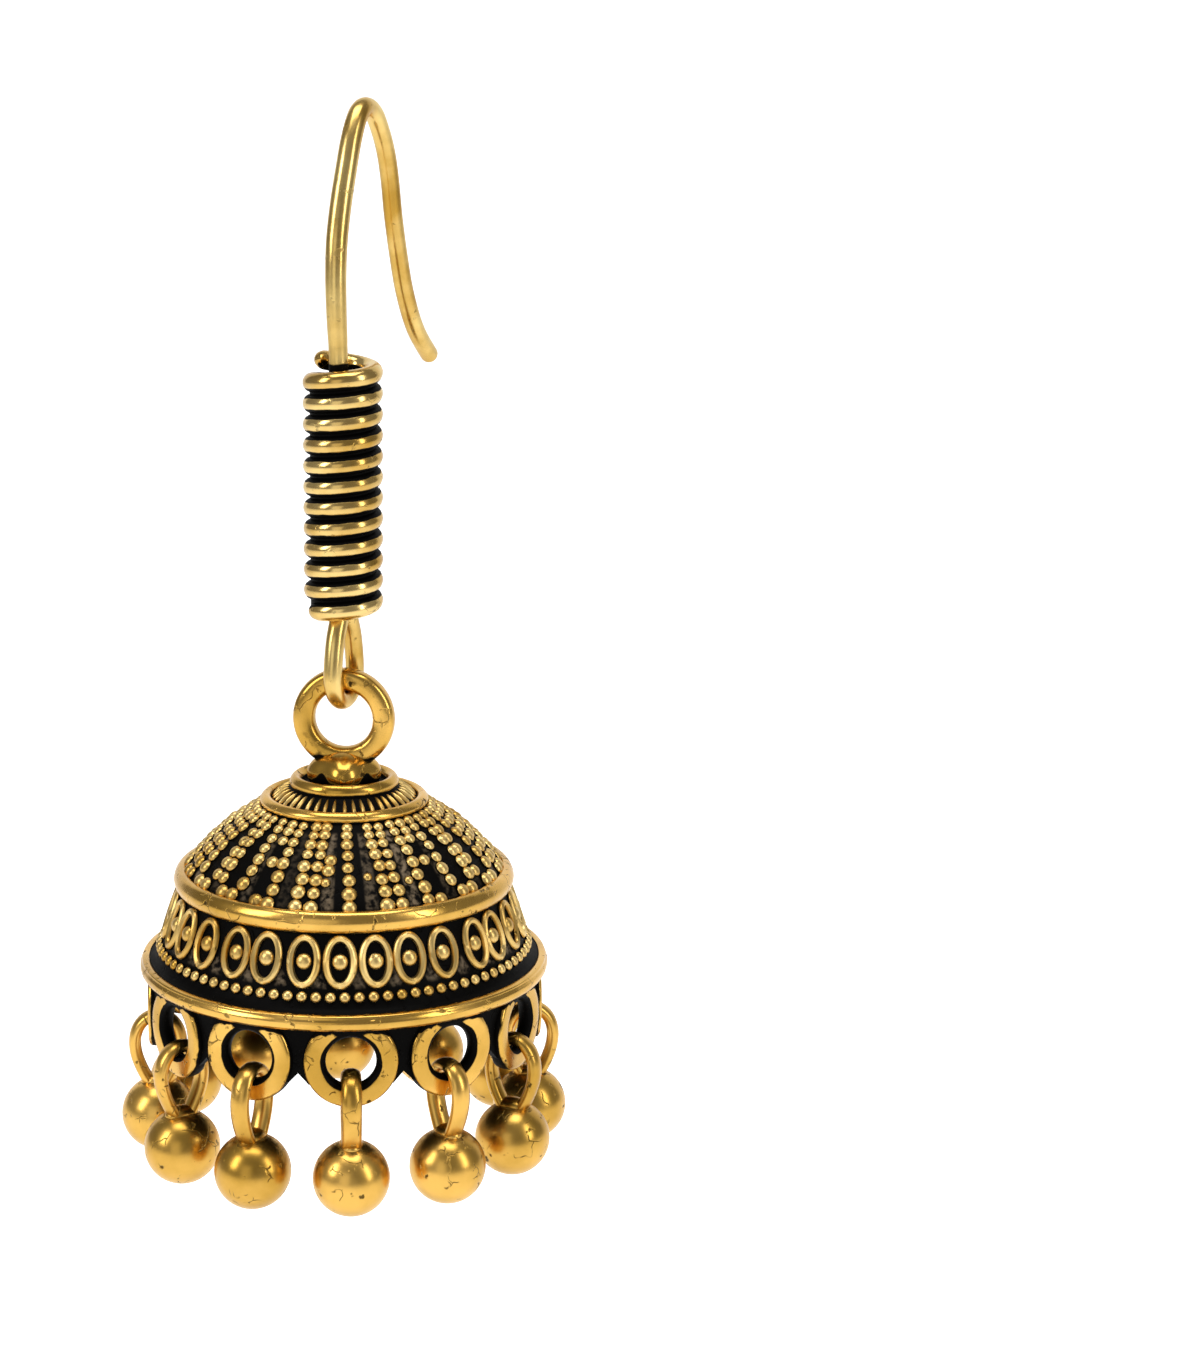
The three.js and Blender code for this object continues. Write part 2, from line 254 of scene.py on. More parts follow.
def shaderGroup(name, inputs, outputs):
    tree = bpy.data.node_groups.new(name, "ShaderNodeTree")
    for label, kind, value in inputs:
        socket = tree.interface.new_socket(label, in_out="INPUT", socket_type=kind)
        socket.default_value = value
    for label, kind in outputs:
        tree.interface.new_socket(label, in_out="OUTPUT", socket_type=kind)
    return tree, addNode(tree, "NodeGroupInput"), addNode(tree, "NodeGroupOutput")


def addNoise(tree, place, scale, detail=2, output="Fac"):
    noise = addNode(tree, "ShaderNodeTexNoise")
    noise.inputs["Scale"].default_value = scale
    noise.inputs["Detail"].default_value = detail
    link(tree, place, "Object", noise, "Vector")
    return noise.outputs[output]


def wornGoldGroup():
    # Gold that drifts between bright and warm, with pits and short cracks
    tree, start, end = shaderGroup(
        "wornGold",
        [("Bright", "NodeSocketColor", goldLook["bright"]), ("Warm", "NodeSocketColor", goldLook["warm"]),
         ("Pits", "NodeSocketFloat", 0.5), ("Scratches", "NodeSocketFloat", 0.5)],
        [("Color", "NodeSocketColor"), ("Marks", "NodeSocketFloat"), ("Height", "NodeSocketFloat")],
    )
    place = addNode(tree, "ShaderNodeTexCoord")
    drift = remap(tree, addNoise(tree, place, wear["driftScale"], wear["driftDetail"]), wear["driftRange"])
    tone = blendColors(tree, drift, start.outputs["Bright"], start.outputs["Warm"])
    pits = remap(tree, addNoise(tree, place, wear["pitScale"], wear["pitDetail"]), wear["pitRange"])
    pitAmount = calculate(tree, "MULTIPLY", pits, start.outputs["Pits"])
    bent = addNode(tree, "ShaderNodeVectorMath", operation="MULTIPLY_ADD")
    tree.links.new(addNoise(tree, place, wear["crackBendScale"], output="Color"), bent.inputs[0])
    bent.inputs[1].default_value = [wear["crackBend"]] * 3
    tree.links.new(place.outputs["Object"], bent.inputs[2])
    cracks = addNode(tree, "ShaderNodeTexVoronoi", feature="DISTANCE_TO_EDGE")
    cracks.inputs["Scale"].default_value = wear["crackScale"]
    cracks.inputs["Randomness"].default_value = 1
    tree.links.new(bent.outputs["Vector"], cracks.inputs["Vector"])
    line = remap(tree, cracks.outputs["Distance"], (0, wear["crackWidth"]), (1, 0))
    where = remap(tree, addNoise(tree, place, wear["crackPlaceScale"]), wear["crackPlaceRange"])
    broken = calculate(tree, "MULTIPLY", line, where)
    scratchAmount = calculate(tree, "MULTIPLY", broken, start.outputs["Scratches"])
    marks = calculate(tree, "MAXIMUM", pitAmount, scratchAmount)
    ripple = addNoise(tree, place, wear["rippleScale"])
    height = calculate(tree, "MULTIPLY_ADD", marks, wear["markDepth"], ripple)
    for name, value in (("Color", tone), ("Marks", marks), ("Height", height)):
        tree.links.new(value, end.inputs[name])
    return tree


def patinaAndShadeGroup():
    # Black in the recesses and bare metal on the crests, from each piece's relief value; the same black is
    # also painted shade where a piece's relief values are set for shade
    tree, start, end = shaderGroup(
        "recessPatinaAndShade",
        [("Relief", "NodeSocketFloat", 1.0), ("Spread", "NodeSocketFloat", 0.5),
         ("Marks", "NodeSocketFloat", 0.0), ("Dullness", "NodeSocketFloat", 0.0)],
        [("Dark", "NodeSocketFloat"), ("Dull", "NodeSocketFloat")],
    )
    place = addNode(tree, "ShaderNodeTexCoord")
    blotch = addNoise(tree, place, wear["blotchScale"], wear["blotchDetail"])
    shifted = calculate(tree, "SUBTRACT", blotch, 0.5)
    mixed = calculate(tree, "MULTIPLY_ADD", shifted, start.outputs["Spread"], start.outputs["Relief"])
    recess = remap(tree, mixed, wear["darkRange"], (1, 0))
    dark = calculate(tree, "MAXIMUM", recess, start.outputs["Marks"])
    grit = remap(tree, addNoise(tree, place, wear["gritScale"], wear["gritDetail"]), wear["gritRange"])
    dull = calculate(tree, "MULTIPLY", grit, start.outputs["Dullness"])
    tree.links.new(dark, end.inputs["Dark"])
    tree.links.new(dull, end.inputs["Dull"])
    return tree


wornGold = wornGoldGroup()
recessPatinaAndShade = patinaAndShadeGroup()


def goldMaterial(name, tone, pits, scratches, roughness, bump):
    material = bpy.data.materials.new(name)
    material.use_nodes = True
    tree = material.node_tree
    shader = next(node for node in tree.nodes if node.type == "BSDF_PRINCIPLED")
    worn = addNode(tree, "ShaderNodeGroup", node_tree=wornGold)
    for key, value in (("Bright", goldLook[tone]), ("Pits", pits), ("Scratches", scratches)):
        worn.inputs[key].default_value = value
    patinaAndShade = addNode(tree, "ShaderNodeGroup", node_tree=recessPatinaAndShade)
    for key, attribute in (("Relief", "relief"), ("Dullness", "dull")):
        reader = addNode(tree, "ShaderNodeAttribute", attribute_name=attribute)
        tree.links.new(reader.outputs["Fac"], patinaAndShade.inputs[key])
    tree.links.new(worn.outputs["Marks"], patinaAndShade.inputs["Marks"])
    dark = patinaAndShade.outputs["Dark"]
    soot = blendColors(tree, patinaAndShade.outputs["Dull"], goldLook["patinaAndShade"], goldLook["dull"])
    bumps = addNode(tree, "ShaderNodeBump")
    bumps.inputs["Strength"].default_value = bump
    bumps.inputs["Distance"].default_value = wear["bumpHeight"]
    tree.links.new(worn.outputs["Height"], bumps.inputs["Height"])
    shaderValues = {
        "Base Color": blendColors(tree, dark, worn.outputs["Color"], soot),
        "Roughness": remap(tree, dark, toRange=(roughness, wear["darkRoughness"])),
        "Metallic": remap(tree, dark, toRange=(1, 0)),
        "Specular IOR Level": wear["darkShine"],
        "Normal": bumps.outputs["Normal"],
    }
    for key, value in shaderValues.items():
        feed(tree, shader.inputs[key], value)
    return material


castGold = goldMaterial("castGold", "bright", 0.9, 0.8, 0.23, 0.7)
grainGold = goldMaterial("grainGold", "pale", 0.6, 0.0, 0.36, 0.9)
coilGold = goldMaterial("coilGold", "pale", 0.5, 0.3, 0.2, 0.45)
wireGold = goldMaterial("wireGold", "wire", 0.4, 0.0, 0.26, 0.35)
ballGold = goldMaterial("ballGold", "bright", 0.8, 0.8, 0.29, 0.6)
print("metals made")


# Node trees for what follows a path or repeats

def wireTree():
    tree, start, end = startTree("wireAlongPath", [
        ("Thickness", "NodeSocketFloat"), ("Sides", "NodeSocketInt"), ("Metal", "NodeSocketMaterial"),
    ])
    toCurve = addNode(tree, "GeometryNodeMeshToCurve")
    toCurve = addNode(tree, "GeometryNodeMeshToCurve")
    ring = addNode(tree, "GeometryNodeCurvePrimitiveCircle")
    sweep = addNode(tree, "GeometryNodeCurveToMesh")
    link(tree, start, "Geometry", toCurve, "Mesh")
    tree.links.new(calculate(tree, "DIVIDE", start.outputs["Thickness"], 2), intoOf(ring, "Radius"))
    link(tree, start, "Sides", ring, "Resolution")
    link(tree, toCurve, "Curve", sweep, "Curve")
    link(tree, ring, "Curve", sweep, "Profile Curve")
    tree.links.new(readAttribute(tree, "taper"), intoOf(sweep, "Scale"))
    sweep.inputs["Fill Caps"].default_value = True
    finishTree(tree, start, end, outOf(sweep, "Mesh"))
    return tree


def roundTheAxisTree():
    # Copies of one shape, made beside the axis at angle zero, set round it nearly evenly
    tree, start, end = startTree("roundTheAxis", [
        ("Count", "NodeSocketInt"), ("Phase", "NodeSocketFloat"), ("Unevenness", "NodeSocketFloat"),
        ("Metal", "NodeSocketMaterial"),
    ])
    spots = addNode(tree, "GeometryNodeMeshLine", mode="OFFSET")
    intoOf(spots, "Start Location").default_value = (axisX * mm, axisY * mm, 0)
    intoOf(spots, "Offset").default_value = (0, 0, 0)
    link(tree, start, "Count", spots, "Count")
    index = addNode(tree, "GeometryNodeInputIndex")
    share = calculate(tree, "DIVIDE", index.outputs[0], start.outputs["Count"])
    turn = calculate(tree, "MULTIPLY_ADD", share, 2 * pi, start.outputs["Phase"])
    wobble = addNode(tree, "FunctionNodeRandomValue", data_type="FLOAT")
    wobble.inputs["Seed"].default_value = 7
    low = calculate(tree, "MULTIPLY", start.outputs["Unevenness"], -1)
    tree.links.new(low, intoOf(wobble, "Min"))
    tree.links.new(start.outputs["Unevenness"], intoOf(wobble, "Max"))
    angles = addNode(tree, "ShaderNodeCombineXYZ")
    tree.links.new(calculate(tree, "ADD", turn, outOf(wobble, "Value")), angles.inputs["Z"])
    copies = placeCopies(tree, outOf(spots, "Mesh"), outOf(start, "Geometry"), angles.outputs[0])
    finishTree(tree, start, end, outOf(copies, "Instances"))
    return tree


def granuleTree():
    # A low dome on every point, facing along the point's own normal, gold at its top
    tree, start, end = startTree("granulesOnFace", [
        ("Segments", "NodeSocketInt"), ("Lowness", "NodeSocketFloat"), ("Metal", "NodeSocketMaterial"),
    ])
    dome = addNode(tree, "GeometryNodeMeshUVSphere")
    dome.inputs["Rings"].default_value = 6
    dome.inputs["Radius"].default_value = 0.5
    link(tree, start, "Segments", dome, "Segments")
    position = addNode(tree, "GeometryNodeInputPosition")
    parts = addNode(tree, "ShaderNodeSeparateXYZ")
    tree.links.new(position.outputs[0], parts.inputs[0])
    goldRange = (0.04, 0.3)
    keep = addNode(tree, "GeometryNodeStoreNamedAttribute", data_type="FLOAT", domain="POINT")
    keep.inputs["Name"].default_value = "relief"
    link(tree, dome, "Mesh", keep, "Geometry")
    tree.links.new(remap(tree, parts.outputs["Z"], goldRange), intoOf(keep, "Value"))
    aim = addNode(tree, "FunctionNodeAlignRotationToVector", axis="Z")
    tree.links.new(readAttribute(tree, "facing", "FLOAT_VECTOR"), intoOf(aim, "Vector"))
    width = readAttribute(tree, "size")
    scale = addNode(tree, "ShaderNodeCombineXYZ")
    for i, value in enumerate((width, width, calculate(tree, "MULTIPLY", width, start.outputs["Lowness"]))):
        tree.links.new(value, scale.inputs[i])
    copies = placeCopies(tree, outOf(start, "Geometry"), outOf(keep, "Geometry"), outOf(aim, "Rotation"))
    tree.links.new(scale.outputs[0], intoOf(copies, "Scale"))
    finishTree(tree, start, end, outOf(copies, "Instances"))
    return tree


wireAlongPath = wireTree()
roundTheAxis = roundTheAxisTree()
granulesOnFace = granuleTree()


# Building and finishing pieces

def finishPiece(piece, *nodes, body="bell", slotName="antique_gold"):
    piece.data.set_sharp_from_angle(angle=radians(42))
    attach(piece, body)
    if nodes:
        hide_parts(*nodes)
    return piece


def plainPiece(name, parts, metal):
    # One mesh from parts of (corners, faces, relief)
    corners, faces, relief = [], [], []
    for part in parts:
        faces += [tuple(corner + len(corners) for corner in face) for face in part[1]]
        corners += [tuple(corner) for corner in part[0]]
        relief += list(part[2])
    piece = meshObject(name, corners, faces, {"relief": relief})
    piece.data.materials.append(metal)
    piece.data.polygons.foreach_set("use_smooth", [True] * len(piece.data.polygons))
    return piece


def pathObject(name, points, taper):
    mesh = bpy.data.meshes.new(name)
    edges = [(i, i + 1) for i in range(len(points) - 1)]
    mesh.from_pydata([tuple(Vector(p) * mm) for p in points], edges, [])
    mesh.attributes.new("taper", "FLOAT", "POINT").data.foreach_set("value", taper)
    return addToScene(name + "Path", mesh)


def paint(piece, name, rule):
    # The rule takes arrays of x and y from the bell's axis, and of z
    spots = np.empty(len(piece.data.vertices) * 3, dtype=np.float32)
    piece.data.vertices.foreach_get("co", spots)
    layer = piece.data.attributes.get(name) or piece.data.attributes.new(name, "FLOAT", "POINT")
    x, y, z = (spots.reshape(-1, 3) / mm).T
    layer.data.foreach_set("value", rule(x - axisX, y - axisY, z).astype(np.float32))


def ringPart(sections, closedSection):
    # Sections are lists of (x, y, z, relief), set round a closed ring
    count = len(sections[0])
    flat = [spot for section in sections for spot in section]
    faces = gridFaces(len(sections), count, closedRows=True, closedColumns=closedSection)
    return [spot[:3] for spot in flat], faces, [spot[3] for spot in flat]


def sweepRound(steps, sides, spotAt, closedSection):
    # spotAt gives (x, y, z, relief) for an angle round the ring and a step in its section
    angles = [2 * pi * i / steps for i in range(steps)]
    return ringPart([[spotAt(angle, j) for j in range(sides)] for angle in angles], closedSection)


def roundAxis(degreesTurn):
    angle = castTurn + radians(degreesTurn)
    return sin(angle), -cos(angle)


# Ear hook

hook = {
    "wire": 1.0,
    "yaw": radians(15),
    "reach": 11.1,
    "drop": 14.0,
    "stemOffset": 0.525,
    "loopSpread": 2.74,
    "tail": 3.4,
    "flattening": 0.13,
    "coilTop": 12.36,
    "coilLength": 12 * 1.093,
    "barGap": 1.13,
    "straightEnd": 0.9,
    "loopTopShare": 0.32,
    "loopTopWidth": 0.78,
    "loopDepth": 1.08,
}
# Painted shade on the hook wire where it goes into the coil
hookShade = {
    "topStart": 0.4,
    "topFade": 0.9,
    "footStart": 0.25,
    "footFade": 0.6,
    "loopMiddle": 0.75,
    "loopShade": 0.62,
    "loopGain": 1.6,
    "nearAxis": 1.2,
}
coilTopZ = -hook["coilTop"]
coilBottomZ = coilTopZ - hook["coilLength"]
loopBottomZ = barZ - hook["barGap"]
hookOutline = table(
    "back down",
    (-0.052, 0.850), (-0.066, 0.735), (-0.072, 0.600), (-0.060, 0.480), (-0.022, 0.360),
    (0.036, 0.236), (0.108, 0.104), (0.184, 0.022), (0.260, 0.000), (0.345, 0.022),
    (0.430, 0.096), (0.492, 0.180), (0.535, 0.280), (0.572, 0.410), (0.630, 0.557),
    (0.707, 0.711), (0.836, 0.864), (1.040, 1.000),
)


def hookPoint(back, z):
    return Vector((axisX + back * sin(hook["yaw"]), axisY + back * cos(hook["yaw"]), z))


def makeHook():
    half = hook["loopSpread"] / 2
    stem = hook["stemOffset"]
    straight, depth = hook["straightEnd"], hook["loopDepth"]
    loopTop = coilBottomZ - hook["loopTopShare"] * (coilBottomZ - loopBottomZ)
    points = [
        hookPoint(stem, coilBottomZ + hook["tail"]),
        hookPoint(stem, coilBottomZ + straight),
        hookPoint(stem, coilBottomZ - 0.2),
        hookPoint(hook["loopTopWidth"] * half, loopTop),
    ]
    swings = 8
    for i in range(swings + 1):
        angle = pi * i / swings
        z = loopBottomZ + depth * half * (1 - sin(angle))
        points.append(hookPoint(half * cos(angle), z))
    points += [
        hookPoint(-hook["loopTopWidth"] * half, loopTop),
        hookPoint(-stem, coilBottomZ - 0.2),
        hookPoint(-stem, coilBottomZ + straight),
        hookPoint(-stem, coilTopZ - straight),
        hookPoint(-stem, coilTopZ + 0.1),
    ]
    stemEnd = len(points)
    for row in hookOutline:
        points.append(hookPoint(row["back"] * hook["reach"], hook["wire"] / 2 - row["down"] * hook["drop"]))
    perSpan = 8
    path = smoothPath(points, perSpan)
    taper = [1.0] * len(path)
    for i in range(stemEnd * perSpan, (stemEnd + 8) * perSpan):
        share = (i - stemEnd * perSpan) / (8 * perSpan)
        taper[i] += hook["flattening"] * sin(pi * share) ** 0.7
    # The tip is rounded over its last half wire
    tip = path[-1]
    along = (path[-1] - path[-2]).normalized()
    while (path[-1] - tip).length < hook["wire"] / 2:
        path.pop()
        taper.pop()
    for i in range(7):
        angle = radians(15 * i - 0.5 * (i == 6))
        path.append(tip - along * (hook["wire"] / 2 * (1 - sin(angle))))
        taper.append(cos(angle))
    wire = grow(pathObject("hookWire", path, taper), wireAlongPath, "hookWire",
                Thickness=hook["wire"] * mm, Sides=20, Metal=wireGold)

    def shadeAtCoil(x, y, z):
        # Painted shade: black where the wire goes into the coil, above and below
        out = np.hypot(x, y)
        above = (z - coilTopZ + hookShade["topStart"]) / hookShade["topFade"]
        below = (coilBottomZ + hookShade["footStart"] - z) / hookShade["footFade"]
        insideLoop = hookShade["loopShade"] + hookShade["loopGain"] * np.abs(out - hookShade["loopMiddle"])
        upper = np.where(out < hookShade["nearAxis"], above, 1)
        return np.where(z > (coilTopZ + coilBottomZ) / 2, upper, np.minimum(below, insideLoop))

    # The painted shade goes into the wire's relief values
    paint(wire, "relief", shadeAtCoil)
    return finishPiece(wire, "ear_hook", body="hook", slotName="polished_gold")


makeHook()


# Coil round the stem

coil = {
    "wire": 1.05,
    "radius": 1.57,
    "turns": 12,
    "pitch": 1.093,
    "startDegrees": 190,
    "endShare": 0.35,
    "endRise": 0.12,
    "goldFrom": 0.83,
    "endTuck": 0.42,
    "endTaper": (0.05, 0.62, 0.86, 0.97),
    "grooveRadius": 1.72,
    "grooveWall": 0.12,
    "grooveLowered": 0.75,
    "grooveLoweredFrom": 0.45,
}
coilShade = {
    "side": 0.44,
    "sideGain": 3,
    "endGrowth": 0.45,
    "topFrom": 0.65,
    "topSpan": 0.2,
    "footUntil": 0.12,
    "footSpan": 0.1,
    "fade": 0.3,
}


def makeCoil():
    stepsPerTurn = 28
    path = []
    for i in range(coil["turns"] * stepsPerTurn + 1):
        turn = i / stepsPerTurn
        angle = radians(coil["startDegrees"] + 360 * turn)
        curl = max(0, (turn - coil["turns"] + coil["endShare"]) / coil["endShare"])
        ease = curl * curl * (3 - 2 * curl)
        radius = coil["radius"] - ease * coil["endTuck"] * coil["wire"]
        z = coilBottomZ + coil["pitch"] * (turn + ease * coil["endRise"])
        path.append((axisX + radius * cos(angle), axisY + radius * sin(angle), z))
    # Both ends are rounded over their last steps
    taper = [1.0] * len(path)
    for i, share in enumerate(coil["endTaper"]):
        taper[i] = taper[-1 - i] = share
    piece = grow(pathObject("coilWire", path, taper), wireAlongPath, "coilWire",
                 Thickness=coil["wire"] * mm, Sides=16, Metal=coilGold)

    def crest(x, y, z):
        # Gold on the outside of the wire, and on the ends where no turn lies above or below
        out = np.hypot(x, y) - coil["radius"]
        side = coilShade["side"] + coilShade["sideGain"] * (out / (coil["wire"] / 2) - coil["goldFrom"])
        angle = np.degrees(np.arctan2(y, x))
        share = (angle - coil["startDegrees"]) / 360 % 1
        climb, fade = coil["pitch"] * share, coilShade["fade"]
        nearTop = np.clip((share - coilShade["topFrom"]) / coilShade["topSpan"], 0, 1)
        nearFoot = np.clip((coilShade["footUntil"] - share) / coilShade["footSpan"], 0, 1)
        top = coilTopZ - coil["pitch"] + climb - coilShade["endGrowth"] * nearTop
        foot = coilBottomZ + climb + coilShade["endGrowth"] * nearFoot
        topTurn = np.clip((z - top) / fade, 0, 1)
        lowTurn = np.clip((foot - z) / fade, 0, 1)
        return np.maximum(side, np.maximum(topTurn, lowTurn))

    paint(piece, "relief", crest)
    return finishPiece(piece, "wire_coil", body="hook")


def makeGroove():
    # The black that fills the grooves between the turns, from the first turn's middle to the last's
    steps = 48
    outer = coil["grooveRadius"]
    inner = outer - coil["grooveWall"]
    sections = []
    for i in range(steps):
        turn = i / steps
        angle = radians(coil["startDegrees"] + 360 * turn)
        low = coilBottomZ + coil["pitch"] * turn
        lowered = coil["grooveLowered"] * min(1, max(0, (turn - coil["grooveLoweredFrom"]) / 0.1))
        high = low + coil["pitch"] * (coil["turns"] - 1 - lowered)
        sections.append([
            (axisX + radius * cos(angle), axisY + radius * sin(angle), z, 0)
            for radius, z in ((outer, low), (outer, high), (inner, high), (inner, low))
        ])
    groove = plainPiece("coilGroove", [ringPart(sections, True)], coilGold)
    return finishPiece(groove, body="hook")


makeCoil()
makeGroove()
print("hook and coil made")


# Bell shell, from the moat round its finial down to the rim and up inside

bell = {
    "segments": 396,
    "mouth": 9.75,
    "hollow": 8.9,
    "stripShare": 0.3,
    "stripInside": 0.405,
    "cornerShare": 0.24,
    "cornerDullness": 0.7,
    "patchFade": 0.05,
    "stripEnds": (0.1, 0.95),
    "cornerEnds": (0.6, 0.97),
    "reliefScale": 0.3,
    "insideShade": 0.25,
}
bellOutline = table(
    "name out down relief corner",
    ("centre", 0.000, 0.053, 0.0),
    ("moat", 0.200, 0.053, 0.0, True),
    ("crown ring", 0.218, 0.016, 0.9),
    ("crown ring top", 0.242, 0.008, 1.0),
    ("crown ring outside", 0.262, 0.030, 1.0),
    ("ticks start", 0.263, 0.068, 0.0, True),
    ("ticks end", 0.355, 0.130, 0.0, True),
    ("collar inside", 0.363, 0.108, 0.9),
    ("collar top", 0.385, 0.104, 1.0),
    ("collar outside", 0.408, 0.126, 1.0),
    ("columns start", 0.404, 0.158, 0.0, True),
    ("columns upper", 0.470, 0.204, 0.0),
    ("columns middle", 0.576, 0.280, 0.0),
    ("columns lower", 0.676, 0.378, 0.0),
    ("columns foot", 0.742, 0.456, 0.0),
    ("columns end", 0.770, 0.496, 0.0, True),
    ("shoulder inside", 0.779, 0.474, 0.9),
    ("shoulder top", 0.808, 0.478, 1.0),
    ("shoulder girth", 0.831, 0.522, 1.0),
    ("shoulder foot", 0.822, 0.564, 0.8),
    ("ovals start", 0.799, 0.583, 0.0, True),
    ("ovals middle", 0.842, 0.706, 0.0),
    ("ovals end", 0.884, 0.830, 0.0),
    ("beads end", 0.925, 0.912, 0.0),
    ("rim inside", 0.952, 0.930, 0.0, True),
    ("rim ledge", 0.966, 0.924, 1.0),
    ("rim edge", 0.988, 0.929, 1.0),
    ("rim groove", 0.992, 0.942, 0.8),
    ("rim girth", 1.000, 0.958, 1.0),
    ("rim lower", 0.998, 0.985, 1.0),
    ("rim foot", 0.986, 1.000, 0.8, True),
    ("mouth", 0.890, 1.000, 0.0, True),
)
hollowOutline = table(
    "out up",
    (0.948, 0.131), (0.885, 0.303), (0.828, 0.474), (0.760, 0.617),
    (0.646, 0.749), (0.510, 0.851), (0.333, 0.943), (0.000, 1.000),
)


def outlineSpot(row):
    shade = bell["reliefScale"] * row["relief"]
    return Vector((rimRadius * row["out"], crownZ - bellHeight * row["down"], shade))


def smoothOutline(rows, perSpan):
    # Smooth between the corners, which stay sharp
    spots, stretch = [], []
    for row in rows:
        stretch.append(outlineSpot(row))
        if row.get("corner"):
            spots += smoothPath(stretch, perSpan)[:-1] if len(stretch) > 1 else []
            stretch = [outlineSpot(row)]
    return [*spots, stretch[0]]


def seatOn(firstName, lastName, share):
    # A place on the bell's face between two named rows, with its normal as (out, up)
    names = [row["name"] for row in bellOutline]
    spots = [outlineSpot(row).xy for row in bellOutline[names.index(firstName):names.index(lastName) + 1]]
    lengths = [(b - a).length for a, b in zip(spots, spots[1:])]
    left = share * sum(lengths)
    for a, b, length in zip(spots, spots[1:], lengths):
        if left <= length + 1e-6:
            break
        left -= length
    along = (b - a).normalized()
    spot = a + along * left
    return spot.x, spot.y, -along.y, along.x


def dullPatches(across, forward, z):
    # Dull grey shows between the granule columns and low between the ovals
    columnTop, columnFoot = (columnSeat(share)[1] for share in bell["stripEnds"])
    ovalMiddle, ovalFoot = (seatOn("ovals start", "ovals end", share)[1] for share in bell["cornerEnds"])
    turn = np.degrees(np.arctan2(across, -forward) - castTurn)
    outside = np.hypot(across, forward) > rimRadius * bell["stripInside"]
    gap = (turn - granules["phase"]) * granules["columns"] / 360
    pattern = np.array(granules["stripPattern"])
    fromColumn = np.abs(gap % 1 - 0.5)
    fromOval = np.abs((turn - relief["ovalPhase"]) * relief["ovalCount"] / 360 % 1 - 0.5)
    strips = (z < columnTop) & (z > columnFoot) & outside
    corners = (z < ovalMiddle) & (z > ovalFoot)
    stripValue = np.clip((bell["stripShare"] / 2 - fromColumn) / bell["patchFade"], 0, 1)
    stripValue *= pattern[np.floor(gap).astype(int) % len(pattern)]
    cornerWidth = bell["cornerShare"] * (ovalMiddle - z) / (ovalMiddle - ovalFoot)
    cornerValue = np.clip((cornerWidth - fromOval) / bell["patchFade"], 0, bell["cornerDullness"])
    return stripValue * strips + cornerValue * corners


def makeBell():
    outline = smoothOutline(bellOutline, 5)
    spots = [(spot.x, spot.y, min(1, max(0, spot.z / bell["reliefScale"]))) for spot in outline]
    inside = [Vector((bell["mouth"], rimZ, 0))]
    for row in hollowOutline:
        inside.append(Vector((bell["mouth"] * row["out"], rimZ + bell["hollow"] * row["up"], 0)))
    spots += [(spot.x, spot.y, bell["insideShade"]) for spot in smoothPath(inside, 3)[1:]]
    sections = []
    for i in range(bell["segments"]):
        turn = 360 * i / bell["segments"]
        across, forward = roundAxis(turn)
        sections.append([(axisX + out * across, axisY + out * forward, z, shade) for out, z, shade in spots])
    shell = plainPiece("bellShell", [ringPart(sections, False)], castGold)
    mendPoles(shell)
    paint(shell, "dull", dullPatches)
    return finishPiece(shell, "bell")


def mendPoles(piece):
    # Welds each pole's ring of corners into one
    work = bmesh.new()
    work.from_mesh(piece.data)
    bmesh.ops.remove_doubles(work, verts=work.verts, dist=1e-7)
    bmesh.ops.recalc_face_normals(work, faces=work.faces)
    work.to_mesh(piece.data)
    work.free()


# Granule rows, rim beads

granules = {
    "columns": 22,
    "phase": 1.7,
    "kinds": [
        "single", "double", "mixed", "loop", "loop", "double", "double", "loop", "loop", "mixed", "double",
    ],
    "stripPattern": [0.5, 1, 0.3, 0.15, 0.6, 0.2, 0.7, 0.2, 0.4, 0.15, 0.8],
    "topGap": 0.57,
    "footGap": 0.80,
    "loopTopGap": 0.6,
    "loopGap": 1.6,
    "loopFootShare": 0.93,
    "loopFootSides": (-0.24, 0.24),
    "firstShare": 0.05,
    "shareSpan": 0.89,
    "crowding": 1.15,
    "shareWobble": 0.008,
    "turnWobble": 0.5,
    "sizeWobble": (0.9, 1.08),
    "perRow": 8,
    "topSize": 0.62,
    "footSize": 0.86,
    "beadCount": 84,
    "beadSize": 0.61,
    "beadSeat": 0.4,
    "lowness": 0.72,
    "beadLowness": 0.8,
    "segments": 12,
}
strayGranules = table(
    "turn share size",
    (-6.3, 0.44, 0.72), (-6.9, 0.55, 0.76), (-7.6, 0.68, 0.56),
    (9.6, 0.62, 0.5), (26.5, 0.7, 0.52), (-41.0, 0.5, 0.6),
)


def makeGranules(name, spots, lowness):
    # Spots are (degrees, seat, size)
    mesh = bpy.data.meshes.new(name)
    corners, facings, sizes = [], [], []
    for degreesTurn, seat, size in spots:
        across, forward = roundAxis(degreesTurn)
        radius, z, out, up = seat
        corners.append(((axisX + radius * across) * mm, (axisY + radius * forward) * mm, z * mm))
        facings += [across * out, forward * out, up]
        sizes.append(size * mm)
    mesh.from_pydata(corners, [], [])
    mesh.attributes.new("facing", "FLOAT_VECTOR", "POINT").data.foreach_set("vector", facings)
    mesh.attributes.new("size", "FLOAT", "POINT").data.foreach_set("value", sizes)
    seeds = addToScene(name + "Seeds", mesh)
    piece = grow(seeds, granulesOnFace, name, Segments=granules["segments"], Lowness=lowness, Metal=grainGold)
    return finishPiece(piece)


def columnSeat(share):
    return seatOn("columns start", "columns end", share)


